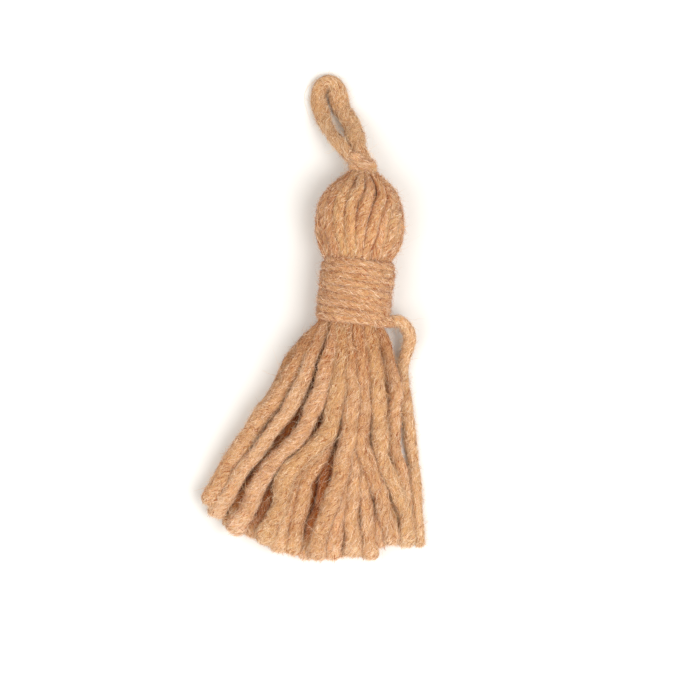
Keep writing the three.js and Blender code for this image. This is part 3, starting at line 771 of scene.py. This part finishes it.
def binding_run():
    """The binding yarn, wound from the top of the neck down to the start of its loose tail."""
    steps = round(BINDING_TURNS * 2 * math.pi * NECK_HALF_WIDTH / TUBE_STEP)
    share = np.linspace(0, 1, steps)
    angle = 2 * math.pi * BINDING_TURNS * (1 - share)
    wander = sum(size * np.sin(pace * angle + phase) for size, pace, phase in BINDING_WAVES)
    y = BINDING_TOP_Y + (BINDING_FOOT_Y - BINDING_TOP_Y) * share
    centre = neck_centre(y)
    tilt = math.atan2(NECK_TOP[0] - NECK_FOOT[0], NECK_TOP[1] - NECK_FOOT[1])
    sunk = BINDING_START_SUNK * (1 - smooth_step(share, 0.0, BINDING_START_SHARE))
    out_size, out_pace, out_phase = BINDING_OUT_WAVE
    out = NECK_HALF_WIDTH + BINDING_OUT - sunk + out_size * np.sin(out_pace * angle + out_phase)
    height = out - NECK_HALF_WIDTH + NECK_HALF_HEIGHT
    aside = out * np.cos(angle)
    line = np.stack([
        centre[:, 0] + aside * math.cos(tilt),
        y - aside * math.sin(tilt) + BINDING_WANDER * wander,
        centre[:, 2] + height * np.sin(angle),
    ], axis=-1)
    leaving = smooth_step(share, 1 - BINDING_LEAVING_TURN / BINDING_TURNS, 1.0)
    line = line + leaving[:, None] * (tail_run.line[0] - line)
    half_width = BINDING_YARN / 2 + leaving * (TAIL_DIAMETER - BINDING_YARN) / 2
    flatness = BINDING_FLATNESS + leaving * (1 - BINDING_FLATNESS)
    outwards = np.stack([np.cos(angle), np.zeros(steps), np.sin(angle)], axis=-1)
    return YarnRun(
        line, half_width, SEEDS["binding"], outwards, flatness, BINDING_TONE, (True, False), "wound"
    )


binding = binding_run()
binding_tube = tube_part(binding, 0, BINDING_STRIPS, sides=BINDING_SIDES, cuts=BINDING_STRIPS)
make_piece("binding_yarn", [binding_tube], YARN, ["neck_binding"])

# Head


def head_strand_run(raised, wide, directions, seed):
    """One strand of the head, laid from the fold to the neck just inside the head's own outline."""
    y, x, half = HEAD_ROWS.T
    yarn = np.maximum(HEAD_YARN_SHARE * half, HEAD_YARN_LEAST)
    down, wider = np.gradient(y), np.gradient(half)
    slope = np.hypot(down, wider)
    inwards = HEAD_YARN_FLATNESS * yarn - raised
    from_axis = half + inwards * down / slope
    lowered = y - inwards * wider / slope
    direction = np.radians(np.interp(-y, -HEAD_HEIGHTS, directions))
    outwards = np.stack([np.sin(direction), wider / slope, np.cos(direction)], axis=-1)
    line = np.stack([
        x + from_axis * np.sin(direction),
        lowered,
        HEAD_AXIS_Z + HEAD_FLATNESS * from_axis * np.cos(direction),
    ], axis=-1)
    route = smooth_line(line)
    steps = np.linspace(0, 1, len(route))
    row_shares = np.concatenate([[0.0], np.cumsum(np.linalg.norm(np.diff(line, axis=0), axis=1))])
    row_shares /= row_shares[-1]
    out_line = np.stack([np.interp(steps, row_shares, column) for column in outwards.T], axis=-1)
    half_width = wide * np.interp(steps, row_shares, yarn)
    tone = HEAD_TONE + np.random.default_rng(seed).normal(0.0, TONE_UNEVEN)
    return YarnRun(route, half_width, seed, out_line, HEAD_YARN_FLATNESS / wide, tone, place="wound")


def head_core_run():
    """The strands inside the head and neck, which close the grooves between the outer ones."""
    y, x, half = HEAD_ROWS[1:].T
    line = np.stack([x, y, np.full(len(y), HEAD_AXIS_Z)], axis=-1)
    line = np.vstack([line, NECK_FOOT])
    route = smooth_line(line)
    head_half = np.maximum(half - CORE_SUNK_HALVES * HEAD_YARN_SHARE * half, CORE_LEAST)
    core_half = np.append(head_half, NECK_HALF_HEIGHT - CORE_NECK_SUNK)
    half_width = np.interp(-route[:, 1], -line[:, 1], core_half)
    # The core's darker tone is painted shade in the head's grooves
    return YarnRun(route, half_width, SEEDS["core"], tone=CORE_TONE, round_ends=(True, True))


head_strands = list(HEAD_FRONT_STRANDS)
for back_direction in np.linspace(*HEAD_BACK_SPAN, HEAD_BACK_STRANDS):
    head_strands.append((0.0, HEAD_BACK_WIDTH, np.full(len(HEAD_HEIGHTS), back_direction)))
head_runs = [head_strand_run(*strand, seed=SEEDS["head"] + k) for k, strand in enumerate(head_strands)]
head_parts = [tube_part(run, k, len(head_runs) + 1) for k, run in enumerate(head_runs)]
head_parts.append(tube_part(head_core_run(), len(head_runs), len(head_runs) + 1))
make_piece("head_strands", head_parts, YARN, ["yarn_bundle"])

# Skirt


def fan_strands():
    """The lowest strands, spread evenly over the fan, in the columns of the other strands' tables."""
    strands = []
    for place in np.linspace(0, 1, FAN_STRANDS):
        end_y = np.interp(place, np.linspace(0, 1, len(FAN_HEM_Y)), FAN_HEM_Y)
        strands.append((FAN_STRAND_WIDTH, end_y, 0.0, FAN_LEFT + place * (FAN_RIGHT - FAN_LEFT)))
    return strands


def strand_heights(xs, height):
    """Heights of a strand's middle: its root lies round the neck, the rest on a mound with low sides."""
    rows = slice(0, len(xs))
    middle = (SKIRT_LEFT[rows] + SKIRT_RIGHT[rows]) / 2
    half = (SKIRT_RIGHT[rows] - SKIRT_LEFT[rows]) / 2
    mound = np.sqrt(1 - np.clip((xs - middle) / half, -1, 1) ** 2)
    heights = FLOOR_STRAND_Z + height * (SKIRT_TOP[rows] - FLOOR_STRAND_Z) * mound
    aside = np.clip((xs[0] - NECK_FOOT[0]) / ROOT_ROUND_RADIUS, -1, 1)
    root_share = ROOT_SHARES[0] + height * (ROOT_SHARES[1] - ROOT_SHARES[0])
    heights[0] = NECK_FOOT[2] + ROOT_RADIUS * root_share * math.sqrt(1 - aside ** 2)
    return heights


def strand_run(width, end_y, height, xs, tone, seed):
    """One strand of the skirt, from under the binding to its cut end."""
    xs = np.asarray(xs, float)
    rows = np.stack([xs, ROW_Y[:len(xs)], strand_heights(xs, height)], axis=-1)
    middle = neck_centre(np.array([TUCK_Y]))[0]
    tuck = middle + TUCK_SHARE * (rows[0] - middle)
    tuck[1] = TUCK_Y
    route = smooth_line(np.vstack([tuck, rows]))
    route = route[route[:, 1] >= end_y]
    rng = np.random.default_rng(seed)
    down = smooth_step(-route[:, 1], -ROW_Y[0], -ROW_Y[0] + ROOT_LENGTH)
    for size, length in STRAND_WANDER:
        for axis in (0, 2):
            wave = np.sin(2 * math.pi * route[:, 1] / length + rng.uniform(0, 2 * math.pi))
            route[:, axis] += size * down * wave
    near_hem = smooth_step(-route[:, 1], -end_y - HEM_LENGTH, -end_y)
    half_width = 0.5 * width * (ROOT_WIDTH_SHARE + (1 - ROOT_WIDTH_SHARE) * down + HEM_FLARE * near_hem)
    flatness = ROOT_FLATNESS + (1 - ROOT_FLATNESS) * down
    left, right = [np.interp(-route[:, 1], -ROW_Y, side) for side in (SKIRT_LEFT, SKIRT_RIGHT)]
    aside = abs(2 * route[:, 0] - left - right) / (right - left)
    tone = tone + rng.normal(0.0, TONE_UNEVEN)
    # Painted shade darkens the root under the binding, and painted light brightens the skirt's sides
    tone = tone - ROOT_PAINTED_SHADE * (1 - down) + SIDE_PAINTED_LIGHT * down * aside + HEM_PALER * near_hem
    return YarnRun(route, half_width, seed, UP, flatness, tone, (False, True), "skirt")


LAYERS = {
    "edge": EDGE_STRANDS,
    "low": fan_strands(),
    "deep": DEEP_STRANDS,
    "middle": MIDDLE_STRANDS,
    "front": FRONT_STRANDS,
}
layer_runs = {}
for layer, strands in LAYERS.items():
    first_seed = SEEDS["skirt"] + sum(len(runs) for runs in layer_runs.values())
    tone = STRAND_TONE[layer]
    layer_runs[layer] = [strand_run(*strand, tone, first_seed + k) for k, strand in enumerate(strands)]
skirt_runs = [run for runs in layer_runs.values() for run in runs]
skirt_parts = [tube_part(run, k, len(skirt_runs)) for k, run in enumerate(skirt_runs)]
make_piece("skirt_strands", skirt_parts, YARN, ["yarn_bundle"])

# Loose fibres on every length of yarn


def fibres_on(name, runs):
    """A piece of matted, halo and stray fibres on some runs, as many as its row in the table says."""
    *densities, facing = FIBRE_PIECES[name]
    parts = []
    for kind, density in zip((MATTED, HALO, STRAY), densities):
        parts += [fibre_part(run, kind, density, kind["seed"] + k, facing) for k, run in enumerate(runs)]
    make_piece(name, parts, FIBRE)


fibres_on("front_strand_fibres", layer_runs["front"])
fibres_on("middle_strand_fibres", layer_runs["middle"] + layer_runs["edge"])
fibres_on("deep_strand_fibres", layer_runs["deep"])
fibres_on("low_strand_fibres", layer_runs["low"])
fibres_on("head_fibres", head_runs)
fibres_on("binding_fibres", [binding])
fibres_on("tail_fibres", [tail_run])
fibres_on("loop_fibres", [loop_run, *knot_runs])
tuft_parts = [
    fibre_part(run, TUFT, TUFT_DENSITY, TUFT["seed"] + k, span=(1 - TUFT_SPAN / run.length, 1.0))
    for k, run in enumerate([*skirt_runs, tail_run])
]
make_piece("cut_end_tufts", tuft_parts, FIBRE)

# Floor and light


def add_floor():
    """A board under the tassel, painted pale and matt, so that it only takes soft shadows."""
    bpy.ops.object.select_all(action="DESELECT")
    bpy.ops.mesh.primitive_plane_add(size=FLOOR_SIDE, location=(0.0, 0.0, 0.0))
    floor = bpy.context.object
    floor.name = "floor"
    material = bpy.data.materials.new("pale painted board")
    material.use_nodes = True
    shader = material.node_tree.nodes["Principled BSDF"]
    shader.inputs["Base Color"].default_value = linear(FLOOR_COLOUR)
    shader.inputs["Roughness"].default_value = 0.9
    floor.data.materials.append(material)


def add_soft_box(name, place, side, power):
    """A square light that looks at the origin."""
    light = bpy.data.lights.new(name, "AREA")
    light.size = side
    light.energy = power
    holder = bpy.data.objects.new(name, light)
    holder.location = place
    holder.rotation_mode = "QUATERNION"
    holder.rotation_quaternion = (-Vector(place)).to_track_quat("-Z", "Y")
    bpy.context.scene.collection.objects.link(holder)


add_floor()
for soft_box in SOFT_BOXES:
    add_soft_box(*soft_box)
world = bpy.data.worlds.new("studio")
world.use_nodes = True
world.node_tree.nodes["Background"].inputs["Color"].default_value = linear(STUDIO_COLOUR)
world.node_tree.nodes["Background"].inputs["Strength"].default_value = STUDIO_STRENGTH
bpy.context.scene.world = world
bpy.context.scene.view_settings.view_transform = "Standard"
# The fine fibres are kept by a denoiser that doesn't smooth its guides
bpy.context.scene.cycles.denoising_prefilter = "NONE"
